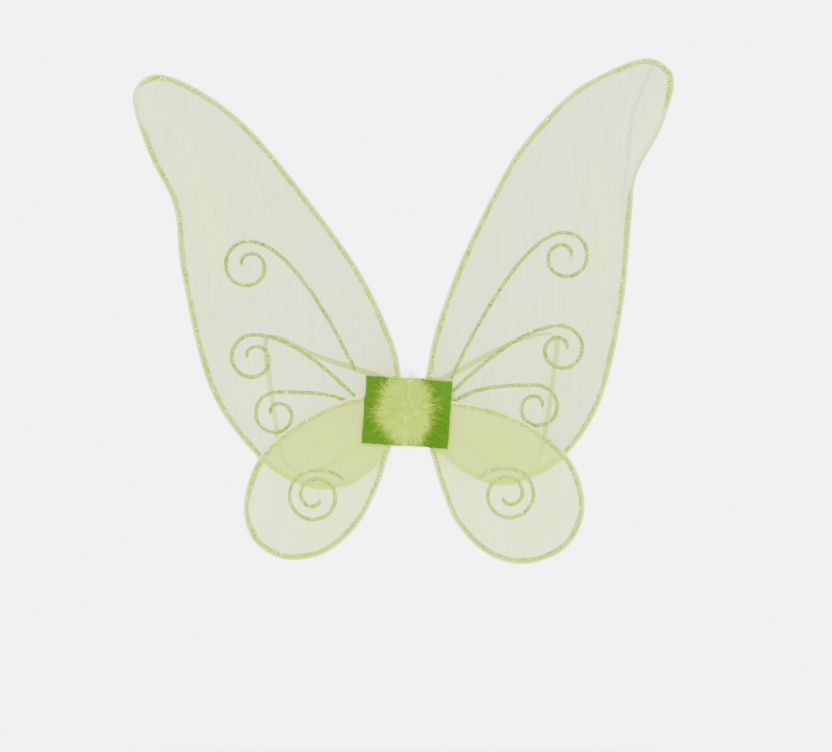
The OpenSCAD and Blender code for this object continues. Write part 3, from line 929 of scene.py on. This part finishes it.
def make_pompom():
    """Marabou: curved tufts from the knot to a lobed surface, each ending in a spray of fine down."""
    centre, r, front_y = pompom_places()
    centre = centre + np.array([0, 0, 1.5])
    knot = centre + np.array([0, 12.0, 0])
    rng = np.random.default_rng(77)
    tufts, hairs = 900, 24
    k = np.arange(tufts) + 0.5
    up = 1 - 1.72 * k / tufts
    golden_angle = math.pi * (3 - math.sqrt(5))
    ring, around = np.sqrt(1 - up**2), k * golden_angle
    d = np.stack([ring * np.cos(around), -up, ring * np.sin(around)], 1)
    d = unit(d + rng.normal(0, 0.10, d.shape))
    lobes = 1 + 0.26 * wobble(d * 20, 15, 4) + 0.06 * wobble(d * 20, 5, 9)
    reach = r * np.array([0.90, 0.90, 1.20]) * (lobes * rng.uniform(0.80, 1.0, tufts))[:, None]
    reach[:, 2] *= 1 + 0.22 * np.maximum(d[:, 2], 0)
    tip = centre + d * reach
    curl = unit(np.cross(d, rng.normal(size=d.shape))) * rng.uniform(-4, 4, (tufts, 1))

    # down along the outer part of every tuft
    tuft = np.repeat(np.arange(tufts), hairs)
    at = rng.uniform(0.25, 1.0, len(tuft))[:, None]
    start = knot + (tip - knot)[tuft] * at + curl[tuft] * at * (1 - at) * 2
    clump = rng.normal(0, 0.40, d.shape)
    go = unit((tip - knot)[tuft] / r * 0.8 + clump[tuft] + rng.normal(0, 0.36, start.shape))
    long = rng.uniform(4.5, 10.5, len(tuft)) * (1.25 - 0.5 * at[:, 0])
    bend = rng.normal(0, 0.38, start.shape) * long[:, None] + np.array([0, 0, -0.10]) * long[:, None]
    # each hair takes a down tone, mostly its tuft's: deep tufts paint shade, pale ones paint light; the
    # strays below all take the pale, painted light tone
    own, clumped = rng.choice(3, len(tuft)), rng.choice(3, tufts, p=[0.36, 0.38, 0.26])[tuft]
    shade = np.where(rng.uniform(size=len(tuft)) < 0.3, own, clumped)
    width = rng.uniform(0.045, 0.085, len(tuft))

    # stray strands, longer and mostly sideways or down
    strays, trailing = 1100, 30
    sd = unit(rng.normal(size=(strays, 3)) * [1, 0.5, 1.1] + [-0.28, -0.12, -0.08])
    sd[:trailing] = unit(rng.normal(size=(trailing, 3)) * [0.5, 0.3, 0.2] + [0.1, 0, -1])
    s_start = centre + sd * r * rng.uniform(0.60, 1.05, (strays, 1))
    s_go = unit(sd + rng.normal(0, 0.30, sd.shape))
    s_long = rng.uniform(7, 14, strays) * (1 - 0.35 * np.abs(sd[:, 1]))
    s_long[:trailing] += 5
    s_bend = rng.normal(0, 0.28, sd.shape) * s_long[:, None]

    start, go = np.concatenate([start, s_start]), np.concatenate([go, s_go])
    long, bend = np.concatenate([long, s_long]), np.concatenate([bend, s_bend])
    shade = np.concatenate([shade, np.full(strays, 2)])
    width = np.concatenate([width, np.full(strays, 0.045)])

    # hairs clear of the patch, grouped by where their tips reach: left, middle or right
    room = start[:, 1] + np.maximum(go[:, 1] * long, 0) + np.maximum(bend[:, 1], 0) < front_y - 0.4
    reach_x = (start + go * long[:, None])[:, 0]
    wide = 6.0
    groups = {"left": reach_x < -wide, "middle": np.abs(reach_x) <= wide, "right": reach_x > wide}
    made = {}
    for key, chosen in groups.items():
        parts = Parts()
        for tone in range(3):
            pick = chosen & room & (shade == tone)
            parts.add(*ribbons(start[pick], go[pick], long[pick], bend[pick], width[pick], rng), tone)
        made[key] = parts.object(f"pompom_{key}", DOWN)
    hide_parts("pompom_fluff")
    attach(made["middle"], "hub")
    for side in (LEFT, RIGHT):
        key = SIDE_NAMES[side]
        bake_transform(made[key])


def lumpy_ball(centre, radii, seed, rough, size):
    """An ellipsoid with lumps. rough is their height as a share of the radii, and size is their spacing."""
    rings, sides = 29, 40
    polar = (np.arange(rings) * math.pi / (rings - 1))[:, None]
    a = (np.arange(sides) * 2 * math.pi / sides)[None]
    d = np.stack([np.sin(polar) * np.cos(a), np.cos(polar) + 0 * a, np.sin(polar) * np.sin(a)], -1)
    points = d.reshape(-1, 3) * radii
    swell = 1 + rough * wobble(points, size, seed) + rough * 0.5 * wobble(points, size / 3, seed + 2)
    return centre + points * swell[:, None], ring_faces(rings, sides)


def make_pompom_middle():
    """The tied middle of the pompom, with the glue that holds it."""
    centre = pompom_places()[0] + np.array([3.0, 7.0, 0])
    points, faces = lumpy_ball(centre, np.array([9.0, 12.5, 16.0]), 5, rough=0.22, size=4.0)
    # the knot takes the down's deep tone, painted shade
    obj = make_object("pompom_heart", points, faces, [DOWN[0]])
    finish_piece(["pompom_knot", "pompom_glue"])
    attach(obj, "hub")


# ---- hub ----

def make_binding():
    """Crepe tape wound round the wire ends, a little askew at each turn."""
    low, high = cad_box("binding_tape")
    centre, half = (low + high) / 2, (high - low) / 2
    turns, sides, tape_t, squareness = 7, 48, 0.35, 3.2
    rows = turns * 8 + 1
    t, k = (np.arange(rows) / (rows - 1))[:, None], np.arange(sides)[None]
    c, s = np.cos(2 * math.pi * k / sides), np.sin(2 * math.pi * k / sides)
    bulk = (np.abs(c) ** squareness + np.abs(s) ** squareness) ** (-1 / squareness)
    lap = tape_t * ((t * turns + k / sides) % 1.0) - tape_t
    end = 1 - 0.12 * np.abs(2 * t - 1) ** 10
    points = np.stack([
        centre[0] + (half[0] + lap) * bulk * c * end, centre[1] + (half[1] + lap) * bulk * s * end,
        low[2] + 2 * half[2] * t + 0 * k,
    ], -1).reshape(-1, 3)
    points += 0.10 * wobble(points, 1.6, 4)[:, None] * unit(points - centre)
    obj = make_object("binding_wrap", points, capped_faces(rows, sides), [TAPE])
    finish_piece(["binding_tape"])
    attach(obj, "hub")


def make_hub_glue():
    """Two flattened blobs of hot glue, one on each side of the bundle."""
    low, high = cad_box("hub_glue")
    tape_low, tape_high = cad_box("binding_tape")
    parts = Parts()
    for seed, (rear_y, front_y) in enumerate(((low[1], tape_low[1]), (tape_high[1], high[1]))):
        centre, radii = (low + high) / 2, (high - low) / 2
        centre[1], radii[1] = (rear_y + front_y) / 2, (front_y - rear_y) / 2
        points, faces = lumpy_ball(np.zeros(3), np.ones(3), seed + 30, rough=0.08, size=0.5)
        square = np.sign(points) * np.abs(points) ** 0.55
        parts.add(centre + np.clip(square, -1.02, 1.02) * radii, faces)
    obj = parts.object("hub_glue_blobs", [HOT_GLUE])
    finish_piece(["hub_glue"])
    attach(obj, "hub")


# ---- elastic ----

def strap_rings(line, across, out, wide, thick):
    """A ribbed flat strap along a line, with a pair of axes (across, out) for each point."""
    half, ribs = wide / 2, 6
    s = np.linspace(-1, 1, ribs * 4 + 1)
    crown = (1 - np.abs(s) ** 8) ** 0.5
    rib = 0.10 * np.abs(np.sin(math.pi * ribs * (s + 1) / 2))
    top = thick / 2 * crown * (0.86 + rib)
    middle = line[:, None] + across[:, None] * (half * s)[None, :, None]
    crest = out[:, None] * top[None, :, None]
    ring = np.concatenate([middle + crest, (middle - crest)[:, ::-1][:, 1:-1]], 1)
    return ring.reshape(-1, 3), capped_faces(len(line), ring.shape[1])


def elastic_line(side):
    """The strap from one sewn end, round the arm, to the other, with the ways across it and out of it."""
    route = np.array([*LOOP_TOPS[side], *LOOP_REST], float)
    loop = resample(smooth_curve(route, 10), 2.0)
    tail = np.arange(TAIL_LENGTH, 1, -2.0)[:, None]
    start = route[0] + unit(route[0] - route[1]) * tail
    finish = route[-1] + unit(route[-1] - route[-2]) * tail[::-1]
    line = np.concatenate([start, loop, finish])
    t = along(line)
    on_loop = np.zeros(len(line))
    on_loop[len(start):len(start) + len(loop)] = 1
    from_end = np.minimum(np.linalg.norm(line - route[0], axis=1), np.linalg.norm(line - route[-1], axis=1))
    turn = (ease(from_end / LOOP_TWIST) * on_loop)[:, None]
    inward = np.array([0, 1.0, 0]) * (1 - turn) + unit(LOOP_MIDDLE - line) * turn
    out = unit(inward - t * (inward * t).sum(1, keepdims=True))
    across = np.cross(t, out)
    mirror = np.array([side, 1, 1])
    return line * mirror, across * mirror, out * mirror


def make_elastic(side):
    name = SIDE_NAMES[side]
    points, faces = strap_rings(*elastic_line(side), ELASTIC_W, ELASTIC_T * 0.96)
    obj = make_object(f"{name}_elastic", points, faces, [ELASTIC])
    finish_piece([f"{name}_elastic_loop", f"{name}_elastic_ends"])
    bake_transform(obj)


def stitch(a, b, sag):
    """A short thread from a to b that bows by sag in y."""
    t = np.linspace(0, 1, 7)[:, None]
    line = a + (b - a) * t
    line[:, 1] += sag * np.sin(math.pi * t[:, 0])
    return tube(line, THREAD_R, 6, hint=(0.01, 1, 0.02))


def make_stitches(side):
    """A zigzag bar across each sewn end, which shows again as rows of dashes on the wearer's side."""
    name = SIDE_NAMES[side]
    back = cad_box(f"{name}_elastic_stitches")[0][1]
    pad_front = cad_box("back_pad")[1][1]
    route = np.array([*LOOP_TOPS[side], *LOOP_REST], float) * [side, 1, 1]
    parts = Parts()
    for end, neighbour in ((route[0], route[1]), (route[-1], route[-2])):
        inward = unit(end - neighbour)
        across = np.array([-inward[2], 0, inward[0]])
        for column in (-6.0, 0.0, 6.0):
            middle = end + inward * (STITCH_AT + column)
            zigs, reach = (9, 1.3) if column == 0 else (5, 0.9)
            for k in range(zigs):
                low, high = STITCH_W * (k / zigs - 0.5), STITCH_W * ((k + 1) / zigs - 0.5)
                hand = 1 if k % 2 else -1
                a = middle + across * low - inward * hand * reach
                b = middle + across * high + inward * hand * reach
                a[1] = b[1] = back + 0.2
                parts.add(*stitch(a, b, -0.22))
                c, d = middle + across * (low + 0.08), middle + across * (high - 0.12)
                c[1] = d[1] = pad_front - 0.25
                parts.add(*stitch(c, d, 0.28))
    obj = parts.object(f"{name}_thread", [THREAD])
    finish_piece([f"{name}_elastic_stitches"])
    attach(obj, "hub")


# ---- camera, light and floor ----

def make_camera():
    data = bpy.data.cameras.new("camera")
    distance = 3.0
    data.sensor_width = 36.0
    data.sensor_fit = "HORIZONTAL"
    width_at_object = 0.832
    data.lens = data.sensor_width * (distance + BEND_Y * MM) / width_at_object
    camera = bpy.data.objects.new("camera", data)
    camera.location = (0.005, -distance, 0.036)
    camera.rotation_euler = (math.pi / 2, 0, 0)
    bpy.context.scene.collection.objects.link(camera)
    bpy.context.scene.camera = camera


def make_lights():
    for name, place, aim, size, power in (
        ("key", (-1.3, -2.0, 1.5), (0, 0, 0.05), 0.8, 44),
        ("fill", (1.8, -1.6, 0.4), (0, 0, 0), 1.2, 18),
        ("back", (0.6, 1.9, 1.6), (0, 0, 0.1), 1.0, 14),
    ):
        data = bpy.data.lights.new(name, "AREA")
        data.shape = "DISK"
        data.size = size
        data.energy = power
        lamp = bpy.data.objects.new(name, data)
        lamp.location = place
        lamp.rotation_euler = (Vector(aim) - Vector(place)).to_track_quat("-Z", "Y").to_euler()
        bpy.context.scene.collection.objects.link(lamp)


def make_world():
    """A high-key studio: the backdrop is lit about one and a half stops brighter than the object."""
    light_level, backdrop_level = 2.0, 6.0
    world = bpy.data.worlds.new("studio")
    bpy.context.scene.world = world
    world.use_nodes = True
    tree = world.node_tree
    background = tree.nodes["Background"]
    rays = tree.nodes.new("ShaderNodeLightPath")
    level = tree.nodes.new("ShaderNodeMapRange")
    level.inputs["To Min"].default_value = light_level
    level.inputs["To Max"].default_value = backdrop_level
    tree.links.new(rays.outputs["Is Camera Ray"], level.inputs["Value"])
    tree.links.new(level.outputs[0], background.inputs["Strength"])
    background.inputs["Color"].default_value = (1, 1, 1, 1)


def make_floor():
    """A pale round floor, just outside the main view, that fades out at its edge."""
    height, solid, edge = -0.47, 0.85, 1.12
    points, faces = [(0, 0, height)], []
    rings, sides = 10, 96
    turns = [2 * math.pi * k / sides for k in range(sides)]
    for i in range(1, rings + 1):
        r = edge * i / rings
        points += [(r * math.cos(a), r * math.sin(a), height) for a in turns]
    faces += [(0, 1 + k, 1 + (k + 1) % sides) for k in range(sides)]
    for a, d, c, b in ring_faces(rings, sides):
        faces.append((1 + a, 1 + b, 1 + c, 1 + d))
    paper = Nodes("floor_paper", (0.90, 0.90, 0.89), 0.9)
    paper.colour(paper.mix(paper.noise(8, 2), (0.88, 0.88, 0.87), (0.93, 0.93, 0.92)))
    away = paper.node("ShaderNodeVectorMath", operation="LENGTH")
    flat = paper.mapped((1, 1, 0))
    paper.link(flat, away.inputs[0])
    paper.link(paper.stretch(away.outputs["Value"], solid, edge, 1.0, 0.0), paper.shader.inputs["Alpha"])
    floor = make_object("floor", np.array(points) / MM, faces, [paper.material])


make_camera()
make_world()
make_lights()
make_floor()
make_binding()
make_hub_glue()
for wing_seed, (wing_side, wing_layer) in enumerate(OUTLINES):
    make_wire(wing_side, wing_layer)
    make_sleeve(wing_side, wing_layer)
    make_edge_glitter(wing_side, wing_layer, 100 + wing_seed)
    for scroll_seed, one_scroll in enumerate(SCROLLS[wing_side, wing_layer]):
        make_scroll(wing_side, wing_layer, one_scroll, 200 + 10 * wing_seed + scroll_seed)
for strap_side in (LEFT, RIGHT):
    make_elastic(strap_side)
    make_stitches(strap_side)
make_patch()
make_pad()
make_pompom_middle()
make_pompom()
